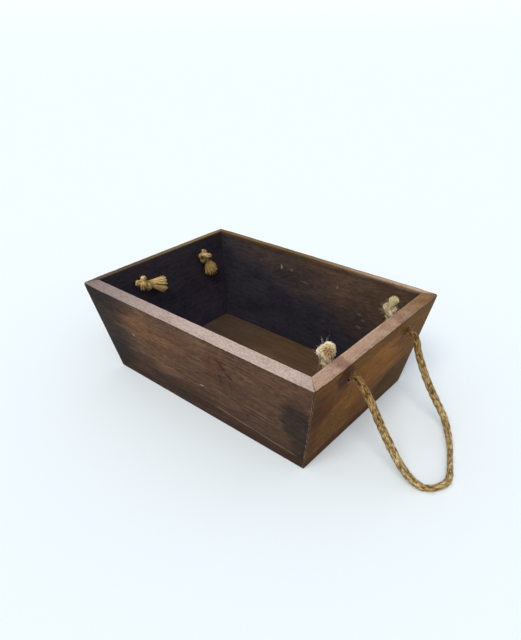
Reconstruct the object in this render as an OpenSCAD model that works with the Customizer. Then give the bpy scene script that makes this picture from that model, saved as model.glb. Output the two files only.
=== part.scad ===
// Tapered wooden crate with two knotted rope handles.
// +X runs along the crate to the right-hand end, -Y is the front long side, Z is up.
// The origin is the middle of the footprint, on the surface the crate stands on.

/* [Crate] */
// Length over the rim
crate_l = 300; // [280:1:330]
// Width over the rim
crate_w = 208; // [190:1:230]
// Length over the foot
foot_l = 257; // [240:1:270]
// Width over the foot
foot_w = 171.5; // [160:0.5:182]
// Height of the rim's outer arris
crate_h = 104.5; // [96:0.5:120]
// Thickness of the four boards
board_t = 12.5; // [11:0.5:14]

/* [Bottom] */
// Thickness of the bottom panel
panel_t = 3; // [2:0.5:5]
// Width of board foot left outside the panel
foot_lip = 7; // [5:0.5:8]

/* [Rope handles] */
// Diameter of the rope
rope_d = 7; // [6:0.5:7.5]
// Diameter of the rope holes
hole_d = 9; // [8:0.5:11]
// Depth of the holes below the rim's outer arris
hole_drop = 20; // [18:0.5:26]
// Place of the hole nearer the front, along Y
hole_front_y = -46; // [-52:1:-40]
// Place of the hole nearer the back, along Y
hole_back_y = 51; // [44:1:56]
// Distance from the board's face to the axis that the loop swings about
swing_out = 11; // [10:0.5:14]

/* [Fastenings] */
// Diameter of the brads
brad_d = 1.2; // [1:0.1:1.6]
// Length of the corner brads
brad_l = 25; // [20:1:30]
// Length of the brads that hold the bottom panel
panel_brad_l = 12; // [9:1:13]

/* [Hidden] */

// Lean of the end boards and of the long boards, out of upright
end_lean = atan((crate_l - foot_l) / 2 / crate_h);
side_lean = atan((crate_w - foot_w) / 2 / crate_h);
// Thickness of the boards measured level, along X and along Y
end_t = board_t / cos(end_lean);
side_t = board_t / cos(side_lean);
// The rim is cut square to the boards, so its inner arris stands higher by this
rim_rise = board_t * sin((end_lean + side_lean) / 2);
big = 2 * (crate_l + crate_h);
gap = 0.3;

panel_l = foot_l - 2 * foot_lip;
panel_w = foot_w - 2 * foot_lip;

// Unit vector along a rope hole in the right-hand end, out of the crate
hole_dir = [cos(end_lean), 0, -sin(end_lean)];
// Where that hole's axis meets the outer face
hole_z = crate_h - hole_drop;
hole_x = crate_l / 2 - hole_drop * tan(end_lean);
// The axis that the right-hand loop swings about
axis_x = hole_x + swing_out * hole_dir.x;
axis_z = hole_z + swing_out * hole_dir.z;
stub_out = swing_out - rope_d / 2 - gap - 0.1;

// Route of a loop: out from the swing axis, along Y, and up from where the rope rests
route = [
    [0, -46, 79], [10, -47, 66], [18.5, -47.5, 53], [26.5, -47, 39.5], [34.5, -46, 26],
    [42.5, -45, 14.5], [52, -43, 4], [63.5, -41.5, 0], [71.5, -34.5, 0], [76, -22.5, 0],
    [72.5, -9.5, 0], [66, 5, 0], [59.5, 19, 1], [51.5, 31, 4.5], [42, 39, 14],
    [32.5, 39, 27.5], [24, 37.5, 42.5], [16, 38, 56.5], [8, 42, 68], [0, 50, 79]
];
rope_sides = 10;

// Knots and tails of the right-hand end, [knot centre, tail start, tail end], measured
// from the inner end of their hole: inwards, along Y, up
right_front = [[12.9, -2, 7.5], [12.6, 0, 11.5], [11.5, 4, 23]];
right_back = [[9.9, 4.6, 10.7], [9.9, 7.1, 15.2], [9.7, 11.6, 23.7]];
// Those of the left-hand end, the same way
left_front = [[10, 0.5, 3.6], [10.5, 7, 1.4], [12, 25, -6.4]];
left_back = [[10, -0.2, 2.2], [10.8, 1.3, -4.8], [14, 6.3, -21.3]];
knot_r = 7;
knot_half = 10;
tail_r = 5.5;

// Horizontal half sizes of the outer faces at a height
function out_x(z) = crate_l / 2 - (crate_h - z) * tan(end_lean);
function out_y(z) = crate_w / 2 - (crate_h - z) * tan(side_lean);

// Space on one side of a plane through p, the side that n points to
module half_space(p, n) {
    u = n / norm(n);
    translate(p)
        rotate([0, acos(u.z), atan2(u.y, u.x)])
            translate([-big, -big, 0])
                cube([2 * big, 2 * big, big]);
}

// Material beyond the mitre of one corner, on the side of the neighbouring board
module past_mitre(sx, sy, keep_side) {
    arris = [sx * tan(end_lean), sy * tan(side_lean), 1];
    inwards = [-sx * end_t, -sy * side_t, 0];
    n = cross(arris, inwards);
    towards_end = n.x * sx > 0 ? 1 : -1;
    half_space(
        [sx * foot_l / 2, sy * foot_w / 2, 0],
        (keep_side ? towards_end : -towards_end) * n
    );
}

// Section of a board: lean is its run in level distance from foot to rim
module board_section(run, level_t) {
    slope = run / crate_h;
    top = crate_h + rim_rise;
    polygon([
        [0, 0],
        [run, crate_h],
        [slope * top - level_t, top],
        [-level_t, 0]
    ]);
}

module panel_rebate() {
    translate([-panel_l / 2, -panel_w / 2, -1])
        cube([panel_l, panel_w, 1 + panel_t]);
}

module long_board(sy) {
    difference() {
        mirror([0, sy < 0 ? 1 : 0, 0])
            translate([-crate_l / 2 - 1, foot_w / 2, 0])
                rotate([90, 0, 90])
                    linear_extrude(crate_l + 2)
                        board_section((crate_w - foot_w) / 2, side_t);
        past_mitre(1, sy, true);
        past_mitre(-1, sy, true);
        panel_rebate();
    }
}

module end_board(sx) {
    difference() {
        mirror([sx < 0 ? 1 : 0, 0, 0])
            translate([foot_l / 2, crate_w / 2 + 1, 0])
                rotate([90, 0, 0])
                    linear_extrude(crate_w + 2)
                        board_section((crate_l - foot_l) / 2, end_t);
        past_mitre(sx, 1, false);
        past_mitre(sx, -1, false);
        panel_rebate();
        for (y = [hole_front_y, hole_back_y])
            mirror([sx < 0 ? 1 : 0, 0, 0])
                at_hole(y)
                    translate([0, 0, -board_t - 3])
                        cylinder(h = board_t + 6, d = hole_d, $fn = 48);
    }
}

// Local Z out of a right-hand rope hole, from the outer face
module at_hole(y) {
    translate([hole_x, y, hole_z])
        rotate([0, 90 + end_lean, 0])
            children();
}

// Local Z from p towards q
module along(p, q) {
    d = q - p;
    translate(p)
        rotate([0, acos(d.z / norm(d)), atan2(d.y, d.x)])
            children();
}

module bottom() {
    translate([-panel_l / 2, -panel_w / 2, 0])
        cube([panel_l, panel_w, panel_t]);
}

// Three brads through the end of a long board into the end board behind it
module corner_brads(sx, sy) {
    for (z = [0.18, 0.5, 0.82] * crate_h)
        translate([sx * (out_x(z) - end_t / 2), sy * out_y(z), z])
            rotate([sy * (90 - side_lean), 0, 0])
                cylinder(h = brad_l, d = brad_d, $fn = 24);
}

// Brads up through the edge of the panel into the boards
module bottom_brads() {
    inset = 2;
    for (sy = [-1, 1])
        for (x = [-0.4, 0, 0.4] * panel_l)
            translate([x, sy * (panel_w / 2 - inset), 0])
                cylinder(h = panel_brad_l, d = brad_d, $fn = 24);
    for (sx = [-1, 1])
        for (y = [-0.3, 0.3] * panel_w)
            translate([sx * (panel_l / 2 - inset), y, 0])
                cylinder(h = panel_brad_l, d = brad_d, $fn = 24);
}

// Loop of rope that lies with its tip on the surface the crate stands on
function route_point(p) = [
    axis_x + p.x,
    (hole_front_y + hole_back_y) / 2 + (p.y - 2.5) * (hole_back_y - hole_front_y) / 97,
    rope_d / 2 + p.z * (axis_z - rope_d / 2) / 79
];
function unit(v) = v / norm(v);
function heading(pts, i) =
    unit(pts[min(i + 1, len(pts) - 1)] - pts[max(i - 1, 0)]);
function ring(c, t, r) =
    let (side = unit(cross([0, 0, 1], t)), up = cross(t, side))
    [for (k = [0 : rope_sides - 1])
        let (a = 360 * (k + 0.5) / rope_sides)
        c + r * (cos(a) * side + sin(a) * up)];

module rope_loop() {
    pts = [for (p = route) route_point(p)];
    n = len(pts);
    rings = [for (i = [0 : n - 1]) ring(pts[i], heading(pts, i), rope_d / 2)];
    points = [for (r = rings) each r];
    s = rope_sides;
    walls = [for (i = [0 : n - 2]) for (k = [0 : s - 1])
        [i * s + k, (i + 1) * s + k, (i + 1) * s + (k + 1) % s, i * s + (k + 1) % s]];
    near_cap = [for (k = [0 : s - 1]) k];
    far_cap = [for (k = [s - 1 : -1 : 0]) (n - 1) * s + k];
    polyhedron(points, concat([near_cap], walls, [far_cap]));
}

// Inner end of a hole, moved inwards by a, along Y by b and up by c
function from_hole(y, v) = [
    hole_x - board_t * hole_dir.x - v.x,
    y + v.y,
    hole_z - board_t * hole_dir.z + v.z
];

// Body of revolution for a knot, longest along Z
module knot_body() {
    rotate_extrude($fn = 36)
        polygon([for (i = [0 : 12])
            let (a = -90 + 15 * i)
            [i == 0 || i == 12 ? 0 : knot_r * cos(a), knot_half * sin(a)]]);
}

// A knot with the stretch of rope that fills its hole
module knot(y, spec) {
    at_hole(y)
        translate([0, 0, -board_t - 11])
            cylinder(h = board_t + 11 + stub_out, d = rope_d, $fn = 36);
    along(from_hole(y, spec[0]), from_hole(y, spec[1]))
        knot_body();
}

// Cut end of the rope, teased out into a brush
module tail(y, spec) {
    p = from_hole(y, spec[1]);
    q = from_hole(y, spec[2]);
    along(p, q)
        cylinder(h = norm(q - p), r1 = rope_d / 2, r2 = tail_r, $fn = 36);
}

module front_board() { color("#3a281f") long_board(-1); }
module back_board() { color("#33241c") long_board(1); }
module right_end_board() { color("#46301f") end_board(1); }
module left_end_board() { color("#3a2a22") end_board(-1); }
module bottom_panel() { color("#4d3a22") bottom(); }
module brads_front_left() { color("#6b655d") corner_brads(-1, -1); }
module brads_front_right() { color("#6b655d") corner_brads(1, -1); }
module brads_back_left() { color("#6b655d") corner_brads(-1, 1); }
module brads_back_right() { color("#6b655d") corner_brads(1, 1); }
module brads_bottom() { color("#6b655d") bottom_brads(); }
module right_handle_rope() { color("#a98a58") rope_loop(); }
// The left-hand loop is the same rope, laid the other way round
module left_handle_rope() {
    color("#a98a58")
        translate([0, hole_front_y + hole_back_y, 0])
            rotate([0, 0, 180])
                rope_loop();
}
module right_front_knot() { color("#b8935c") knot(hole_front_y, right_front); }
module right_back_knot() { color("#b8935c") knot(hole_back_y, right_back); }
module left_front_knot() { color("#b8935c") mirror([1, 0, 0]) knot(hole_front_y, left_front); }
module left_back_knot() { color("#b8935c") mirror([1, 0, 0]) knot(hole_back_y, left_back); }
module right_front_tail() { color("#c9b08a") tail(hole_front_y, right_front); }
module right_back_tail() { color("#c9b08a") tail(hole_back_y, right_back); }
module left_front_tail() { color("#c9b08a") mirror([1, 0, 0]) tail(hole_front_y, left_front); }
module left_back_tail() { color("#c9b08a") mirror([1, 0, 0]) tail(hole_back_y, left_back); }

front_board();
back_board();
left_end_board();
right_end_board();
bottom_panel();
brads_front_left();
brads_front_right();
brads_back_left();
brads_back_right();
brads_bottom();
right_handle_rope();
left_handle_rope();
right_front_knot();
right_back_knot();
left_front_knot();
left_back_knot();
right_front_tail();
right_back_tail();
left_front_tail();
left_back_tail();
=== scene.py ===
"""Looks of the tapered wooden crate with rope handles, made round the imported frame."""
from functools import partial
from math import atan, cos, exp, hypot, pi, radians, sin, tan
from types import SimpleNamespace

import bmesh
import bpy
import numpy as np
from mathutils import Matrix, Vector, noise


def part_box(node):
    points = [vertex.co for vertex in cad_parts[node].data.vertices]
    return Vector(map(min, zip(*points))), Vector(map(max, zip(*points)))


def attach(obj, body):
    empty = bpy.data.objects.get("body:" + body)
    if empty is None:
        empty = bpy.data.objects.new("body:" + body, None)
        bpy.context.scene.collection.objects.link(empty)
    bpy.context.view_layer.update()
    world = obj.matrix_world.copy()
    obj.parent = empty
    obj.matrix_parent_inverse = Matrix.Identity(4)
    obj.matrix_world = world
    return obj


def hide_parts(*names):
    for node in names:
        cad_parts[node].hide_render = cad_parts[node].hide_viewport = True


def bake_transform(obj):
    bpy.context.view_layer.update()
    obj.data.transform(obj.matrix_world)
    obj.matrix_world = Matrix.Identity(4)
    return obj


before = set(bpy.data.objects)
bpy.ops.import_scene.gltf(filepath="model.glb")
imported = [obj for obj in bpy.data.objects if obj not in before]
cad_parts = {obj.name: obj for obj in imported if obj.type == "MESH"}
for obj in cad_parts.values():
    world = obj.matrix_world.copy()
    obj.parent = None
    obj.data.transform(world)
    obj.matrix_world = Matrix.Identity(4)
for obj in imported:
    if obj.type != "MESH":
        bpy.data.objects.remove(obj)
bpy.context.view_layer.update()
MM = 0.001

# ---- sizes, read off the frame
RIM_X, _, RIM_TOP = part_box("front_board")[1]
RIM_Y = -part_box("front_board")[0].y
PANEL_X, PANEL_Y, PANEL_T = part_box("bottom_panel")[1]
LIP = 7 * MM
FOOT_X, FOOT_Y = PANEL_X + LIP, PANEL_Y + LIP
HEIGHT = 104.5 * MM
BOARD_T = 12.5 * MM
ROPE_D = 7 * MM
HOLE_R = 4.5 * MM
HOLE_YS = (-46 * MM, 51 * MM)
HOLE_DROP = 20 * MM

END_LEAN = atan((RIM_X - FOOT_X) / HEIGHT)
SIDE_LEAN = atan((RIM_Y - FOOT_Y) / HEIGHT)
END_T = BOARD_T / cos(END_LEAN)
SIDE_T = BOARD_T / cos(SIDE_LEAN)
# half length, foot, rim, lean and the neighbour's, level thickness and the neighbour's, panel's half width
SIDES = {"long": (RIM_X, FOOT_Y, RIM_Y, SIDE_LEAN, END_LEAN, SIDE_T, END_T, PANEL_Y),
         "end": (RIM_Y, FOOT_X, RIM_X, END_LEAN, SIDE_LEAN, END_T, SIDE_T, PANEL_X)}
HOLE_DIR = Vector((cos(END_LEAN), 0, -sin(END_LEAN)))
HOLE_Z = HEIGHT - HOLE_DROP
HOLE_X = RIM_X - HOLE_DROP * tan(END_LEAN)
SWING = 11 * MM
AXIS_X, AXIS_Z = HOLE_X + SWING * HOLE_DIR.x, HOLE_Z + SWING * HOLE_DIR.z

# ---- camera
CAM_AZ, CAM_EL, CAM_ROLL = (radians(a) for a in (41.10, 29.60, -0.94))
CAM_AT = Vector((0.33618, -0.37775, 0.35412))
CAM_LENS = 31.0


def link(name, data):
    """A new object in the scene."""
    obj = bpy.data.objects.new(name, data)
    bpy.context.scene.collection.objects.link(obj)
    return obj


def make_camera():
    level = cos(CAM_EL)
    back = Vector((sin(CAM_AZ) * level, -cos(CAM_AZ) * level, sin(CAM_EL)))
    x = Vector((0, 0, 1)).cross(back).normalized()
    y = back.cross(x)
    c, s = cos(CAM_ROLL), sin(CAM_ROLL)
    data = bpy.data.cameras.new("camera")
    data.sensor_width, data.lens = 36, CAM_LENS
    data.clip_start, data.clip_end = 0.01, 100
    cam = link("camera", data)
    m = Matrix((c * x + s * y, -s * x + c * y, back)).transposed().to_4x4()
    m.translation = CAM_AT
    cam.matrix_world = m
    bpy.context.scene.camera = cam


make_camera()


# ---- material helpers
def arithmetic(op, swapped=False):
    return lambda a, b: a.net.math(op, b, a) if swapped else a.net.math(op, a, b)


class Value:
    """A node's output, which may stand in a sum with numbers and others of its kind."""

    def __init__(self, net, socket):
        self.net, self.socket = net, socket

    def __abs__(self):
        return self.net.math("ABSOLUTE", self)

    __add__ = __radd__ = arithmetic("ADD")
    __mul__ = __rmul__ = arithmetic("MULTIPLY")
    __sub__, __rsub__ = arithmetic("SUBTRACT"), arithmetic("SUBTRACT", swapped=True)


class Net:
    """A material's node tree; its calls take numbers, colours and Values alike."""

    def __init__(self, name):
        self.mat = bpy.data.materials.new(name)
        self.mat.use_nodes = True
        self.tree = self.mat.node_tree
        self.tree.nodes.clear()
        out = self.tree.nodes.new("ShaderNodeOutputMaterial")
        self.bsdf = self.tree.nodes.new("ShaderNodeBsdfPrincipled")
        self.tree.links.new(self.bsdf.outputs[0], out.inputs[0])

    def put(self, socket, value):
        if isinstance(value, Value):
            self.tree.links.new(value.socket, socket)
        elif value is not None:
            if socket.type == "RGBA" and len(value) == 3:
                value = (*value, 1.0)
            socket.default_value = value

    def shader(self, **sockets):
        """Fill the shader's own sockets, and hand over the finished material."""
        for name, value in sockets.items():
            self.put(self.bsdf.inputs[SOCKETS[name]], value)
        return self.mat

    def node(self, kind, inputs=(), out=0, **props):
        n = self.tree.nodes.new("ShaderNode" + kind)
        for k, v in props.items():
            setattr(n, k, v)
        for i, v in inputs.items() if isinstance(inputs, dict) else enumerate(inputs):
            self.put(n.inputs[i], v)
        return Value(self, n.outputs[out])

    def place(self):
        return self.node("TexCoord", out="Object")

    def attr(self, name, out="Fac"):
        return self.node("Attribute", out=out, attribute_name=name)

    def math(self, op, *values):
        return self.node("Math", values, operation=op)

    def dot(self, a, b):
        return self.node("VectorMath", (a, b), "Value", operation="DOT_PRODUCT")

    def vector(self, *xyz):
        return self.node("CombineXYZ", xyz)

    def noise(self, vec, scale, detail=2.0, rough=0.5, distortion=0.0):
        """Noise, stretched where its scale is three numbers."""
        if isinstance(scale, tuple):
            vec, scale = self.node("VectorMath", (vec, scale), operation="MULTIPLY"), 1.0
        return self.node("TexNoise", {"Vector": vec, "Scale": scale, "Detail": detail,
                                      "Roughness": rough, "Distortion": distortion})

    def span(self, x, lo, hi, to_lo=0.0, to_hi=1.0, curve="SMOOTHSTEP"):
        return self.node("MapRange", (x, lo, hi, to_lo, to_hi), interpolation_type=curve, clamp=True)

    def fade(self, x, lo, hi, amount=1.0):
        return self.span(x, lo, hi, amount, 0.0)

    def mix(self, fac, a, b, how="MIX"):
        return self.node("Mix", {0: fac, 6: a, 7: b}, 2, data_type="RGBA", blend_type=how)

    def tint(self, fac, colour, by):
        return self.mix(fac, colour, by, "MULTIPLY")

    def ramp(self, fac, stops):
        value = self.node("ValToRGB", (fac,))
        elements = value.socket.node.color_ramp.elements
        while len(elements) < len(stops):
            elements.new(0.5)
        for el, (pos, col) in zip(elements, stops):
            el.position = pos
            el.color = (*(col if isinstance(col, tuple) else (col,) * 3), 1.0)
        return value

    def bump(self, height, strength, distance):
        return self.node("Bump", {"Strength": strength, "Distance": distance, "Height": height})


SOCKETS = dict(colour="Base Color", rough="Roughness", specular="Specular IOR Level", normal="Normal",
               metallic="Metallic", sheen="Sheen Weight", sheen_rough="Sheen Roughness")


# ---- wood
def board_axes(side, sign):
    """Along, up and inward unit vectors of a board, and the middle of its outer foot arris."""
    _, foot, _, lean, *_ = SIDES[side]
    s, c = sin(lean), cos(lean)
    rest = (sign * s, c), (-sign * c, s), (sign * foot, 0)
    if side == "long":
        return Vector((1, 0, 0)), *(Vector((0, out, up)) for out, up in rest)
    return Vector((0, 1, 0)), *(Vector((out, 0, up)) for out, up in rest)


def wood(name, side, sign, seed, look):
    """Dark stain brushed on softwood, with a rim sanded back to pale wood."""
    n = Net(name)
    mix, tint, span, fade = n.mix, n.tint, n.span, n.fade
    along, up, inward, foot = board_axes(side, sign)
    pos = n.place()
    u, v, w = n.dot(pos, along), n.dot(pos, up) - foot.dot(up), n.dot(pos, inward) - foot.dot(inward)
    board = n.vector(u, v, w + seed)
    spots = partial(n.noise, board)

    def centred(value, amount):
        return (value - 0.5) * amount

    def ellipse(pu, pv, ru, rv, ragged, stretch=(22, 110, 80)):
        """Square of the distance from a middle, in radii; all four in millimetres."""
        qu, qv = (u - pu * MM) * (1 / (ru * MM)), (v - pv * MM) * (1 / (rv * MM))
        return qu * qu + qv * qv + centred(spots(stretch, 4, 0.6), ragged)

    # grain lines wander up and down, and swerve round the knots
    grain_v = v + centred(spots((6, 13, 13)), 0.017)
    grain_v = grain_v + centred(spots((30, 60, 60)), 0.0035)
    grain_v = grain_v + centred(spots((130, 150, 150)), look.ripple)
    knots = []
    for ku, kv, kr, stretched in look.knots:
        q = n.math("SQRT", ellipse(ku, kv, kr * stretched, kr, 0.25, (90, 90, 90)))
        side_of = n.math("TANH", (v - kv * MM) * (1 / (kr * MM)))
        grain_v = grain_v - fade(q, 0.2, 3.4) * side_of * (kr * MM * 0.75)
        knots.append(q)
    lines = partial(n.noise, n.vector(u, grain_v, w + seed))

    # growth rings round a pith outside the board, seen in some places and not in others
    dv, dw = grain_v - look.pith_v, w + look.pith_w
    r = n.math("SQRT", dv * dv + dw * dw)
    r = r + u * look.taper + centred(n.noise(n.vector(r, seed, 0), 160), 0.008)
    ring = n.ramp(n.math("FRACT", r * (1 / look.ring)),
                  [(0, 0.35), (0.5, 0.4), (0.82, 0.85), (0.93, 1), (1, 0.35)])
    ring = 0.5 + centred(ring, 1) * span(spots((6, 20, 20), 3), 0.42, 0.60, 0.15, 1)

    # stain: broad bands, streaks, hairs and flecks along the grain, blotches across it
    band = lines((4.5, 85, 85), 3, 0.55)
    streak = lines((17, 360, 360), 4, 0.6)
    hair = lines((45, 1500, 1500), 3, 0.6)
    fleck = lines((150, 620, 620), 4, 0.75)
    blotch = spots((14, 26, 26), 5, 0.65)
    mottle = spots((75, 130, 130), 4, 0.6)
    tone = band * 0.10 + (streak * 0.23 + mottle * 0.12) + fleck * 0.36 + (hair * 0.11 + ring * 0.08)
    tone = span(tone, 0.405, 0.600, curve="LINEAR")
    colour = n.ramp(tone, [(0, look.dark), (0.45, look.mid), (1, look.light)])
    colour = mix(span(blotch, 0.35, 0.65), tint(0.75, colour, look.cool), colour)
    threads = span(lines((18, 700, 700)), 0.595, 0.67)
    low_half = span(v, look.threads_v + 0.02, look.threads_v - 0.02, 0.08, 0.65)
    colour = mix(threads * low_half, colour, look.thread)
    pores = lines((120, 1100, 1100))
    colour = mix(span(pores, 0.66, 0.76, 0, 0.5), colour, look.dark)

    for q in knots:
        colour = mix(fade(q, 0.3, 1.3, 0.7), colour, look.scar)
        colour = mix(span(q, 0.75, 1.05) * fade(q, 1.05, 1.6, 0.6), colour, look.scar_dark)
    for *where, amount, by in look.patches:
        colour = tint(fade(ellipse(*where, 2.4), 0.45, 1.5, amount), colour, by)
    for (au, av), (bu, bv), thick, paint, amount in look.strokes:
        au, av, bu, bv, thick = (x * MM for x in (au, av, bu, bv, thick))
        length = hypot(bu - au, bv - av)
        eu, ev = (bu - au) / length, (bv - av) / length
        du, dv = u - au, v - av
        s = (du * eu + dv * ev) * (1 / length)
        d = du * ev - dv * eu + centred(spots((35, 35, 35)), thick * 2.5)
        over = span(s, -0.05, 0.12) * fade(s, 0.85, 1.05)
        least = 0.1 if thick < 1 * MM else 0.25
        breaks = span(spots((70, 240, 240), 4), 0.42, 0.58, least, 1)
        colour = mix(fade(abs(d), thick * 0.3, thick, amount) * over * breaks, colour, paint)
    for *where, amount, paint in look.nicks:
        colour = mix(fade(ellipse(*where, 0.9, (400, 400, 400)), 0.5, 1.3, amount), colour, paint)
    # rubbed lips round the rope holes, with painted shade inside the bores
    if side == "end":
        for y in HOLE_YS:
            where = (x / MM for x in (y, HOLE_Z / cos(END_LEAN), HOLE_R, HOLE_R))
            q = n.math("SQRT", ellipse(*where, 0.9, (300, 300, 300)))
            colour = mix(fade(q, 1.05, 1.5, 0.55), colour, look.worn)
            colour = mix(fade(q, 0.95, 1.15, 0.85), colour, look.scar_dark)

    # the foot is darker, and the inside faces carry painted shade, deepest low down and, on some boards,
    # towards one end
    colour = tint(fade(v, 0, 0.014, 0.55), colour, (0.40, 0.36, 0.36))
    inside = span(w, BOARD_T * 0.4, BOARD_T * 0.6)
    cloud = spots((22, 42, 42), 4, 0.6) * 0.75 + mottle * 0.25
    cloud = cloud * 0.58 + fleck * 0.42
    smear = mix(span(cloud, 0.41, 0.59), tint(1, look.mid, (0.74, 0.74, 0.78)),
                  tint(1, look.mid, (1.30, 1.25, 1.16)))
    colour = mix(inside * 0.62, colour, smear)
    # painted shade on the inside faces: the lower inside tint low down, the upper one near the rim
    depth = v * (1 / 0.105) + centred(blotch, 0.9)
    depth = depth + span(u, -0.14, 0.14, *look.inside_along, curve="LINEAR")
    inside_shade = mix(span(depth, 0.15, 0.95), look.inside_low, look.inside)
    colour = tint(1, colour, mix(inside, (1, 1, 1), inside_shade))
    for *where, amount, paint in look.scuffs:
        mark = fade(ellipse(*where, 4.5, (420, 420, 420)), 0, 1.2, amount)
        colour = mix(mark * inside, colour, paint)

    # arrises rubbed through, joints closed by dirt, and the rim sanded back, with painted light along it
    # and a painted shadow just under it
    ragged = centred(spots((240, 240, 240), 4, 0.65), 1.5)
    colour = mix(span(n.attr("edge") + ragged, 0.55, 1.05, 0, 0.8), colour, look.worn)
    rim = n.attr("rim") + ragged * 0.25
    rim_mask = span(rim, 0.34, 0.60)
    grit = spots((560, 760, 760), 5, 0.85)
    drift = spots((30, 70, 70), 5, 0.7)
    # the sanded rim's colour runs from one end of the board to the other, partly the wood's own and partly
    # painted light
    base = mix(span(u + centred(drift, 0.05), *look.rim_fade), look.rim_near, look.rim_far)
    sanded = mix(span(grit, 0.34, 0.62), tint(1, base, (0.66, 0.63, 0.65)),
                   tint(1, base, (1.12, 1.12, 1.12)))

    def sand(mask, by):
        return mix(mask, sanded, tint(1, sanded, by))

    sanded = sand(span(drift, 0.50, 0.66, 0, 0.75), look.rim_stain)
    sanded = sand(span(pores, 0.60, 0.72, 0, 0.5), (0.5, 0.42, 0.4))
    for pu, ru, amount, by in look.rim_marks:
        q = abs((u + centred(drift, 0.02) - pu * MM) * (1 / (ru * MM)))
        sanded = tint(fade(q, 0.3, 1, amount), sanded, by)
    from_side = n.math("MINIMUM", w + centred(grit, 0.002), BOARD_T - w)
    sanded = sand(fade(from_side, 0.0008, 0.0034, look.rim_border), (0.30, 0.24, 0.20))
    from_inside = BOARD_T + centred(grit, 0.002) - w
    sanded = sand(fade(from_inside, 0.0006, 0.0026, look.rim_inner), (1.38, 1.40, 1.42))
    # a painted shadow line just under the rim's edge, in the dark scar colour
    under = span(rim, 0.02, 0.16) * fade(rim, 0.30, 0.45, 0.32)
    colour = mix(under, colour, look.scar_dark)
    colour = mix(rim_mask, colour, sanded)
    seam = span(n.attr("seam") + ragged * 0.12, 0.55, 0.95, 0, 0.8)
    relief = band * 0.5 + (streak * 0.9 + hair * 0.5) + grit * rim_mask * 0.6
    return n.shader(
        colour=mix(seam, colour, (0.022, 0.015, 0.012)),
        rough=span(streak, 0.35, 0.65, look.rough - 0.06, look.rough + 0.08) + rim_mask * 0.12,
        specular=look.gloss, normal=n.bump(relief, 0.5, 0.0006))


# ---- boards
def rnd(x, y=0.0, z=0.0):
    """Smooth noise between -1 and 1."""
    return noise.noise(Vector((x, y, z)))


def arc(a, corner, b, radius, steps):
    """Points rounding the corner between a and b."""
    a, corner, b = Vector(a), Vector(corner), Vector(b)
    p, q = (a - corner).normalized(), (b - corner).normalized()
    half = p.angle(q) / 2
    reach = radius / tan(half)
    centre = corner + (p + q).normalized() * radius / sin(half)
    first, last = corner + p * reach, corner + q * reach
    rays = ((first - centre) * (1 - i / steps) + (last - centre) * (i / steps) for i in range(steps + 1))
    return [centre + ray.normalized() * radius for ray in rays]


def coordinates(mesh):
    co = np.empty(len(mesh.vertices) * 3, np.float32)
    mesh.vertices.foreach_get("co", co)
    return co.reshape(-1, 3).astype(float)


def set_attribute(mesh, name, values):
    """A number, or a vector, kept at each point."""
    values = np.asarray(values, np.float32)
    vectors = values.ndim == 2
    a = mesh.attributes.new(name, "FLOAT_VECTOR" if vectors else "FLOAT", "POINT")
    a.data.foreach_set("vector" if vectors else "value", values.ravel())


def new_mesh(name, verts, faces, **attributes):
    """A smooth mesh object, with what is kept at its points."""
    mesh = bpy.data.meshes.new(name)
    mesh.from_pydata(np.asarray(verts).tolist(), [], faces)
    mesh.update()
    for key, values in attributes.items():
        set_attribute(mesh, key, values)
    mesh.polygons.foreach_set("use_smooth", [True] * len(mesh.polygons))
    return link(name, mesh)


def skinned(name, bm, rings):
    """The object of a bmesh whose rings are closed into a solid."""
    for a, b in zip(rings, rings[1:]):
        for k in range(len(a)):
            j = (k + 1) % len(a)
            bm.faces.new((a[k], a[j], b[j], b[k]))
    bm.faces.new(rings[0][::-1])
    bm.faces.new(rings[-1])
    bmesh.ops.recalc_face_normals(bm, faces=bm.faces)
    mesh = bpy.data.meshes.new(name)
    bm.to_mesh(mesh)
    bm.free()
    return link(name, mesh)


QUARTER = radians(45)
NEAR_MITRE = 0.9 * MM
# stations from one mitre to the other: five round the corner, four more to even out
BENDS = [QUARTER * (4 - k) / 4 for k in range(5)]
BEYOND = [NEAR_MITRE, 2.1 * MM, 3.8 * MM, 6.0 * MM]
MARGIN = 9.5 * MM
STATIONS = 120


def corner_radius(z):
    """The upright corners are rounder just under the rim."""
    t = min(1.0, max(0.0, (z - 97 * MM) / (7.5 * MM)))
    return (1.3 + 2.4 * t * t * (3 - 2 * t)) * MM


def setback(kind, value, z):
    """How far a station stands back from the mitre, and from the face, at the rounded corner."""
    rc = corner_radius(z)
    if kind == "bend":
        return rc * (sin(QUARTER) - sin(value)), rc * (1 - cos(value))
    return rc * sin(QUARTER) + value, 0.0


def how_flat(kind, value):
    """Distance from the mitre, on the inner arris where the corner isn't rounded."""
    return (QUARTER - value) * NEAR_MITRE if kind == "bend" else NEAR_MITRE + value


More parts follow.
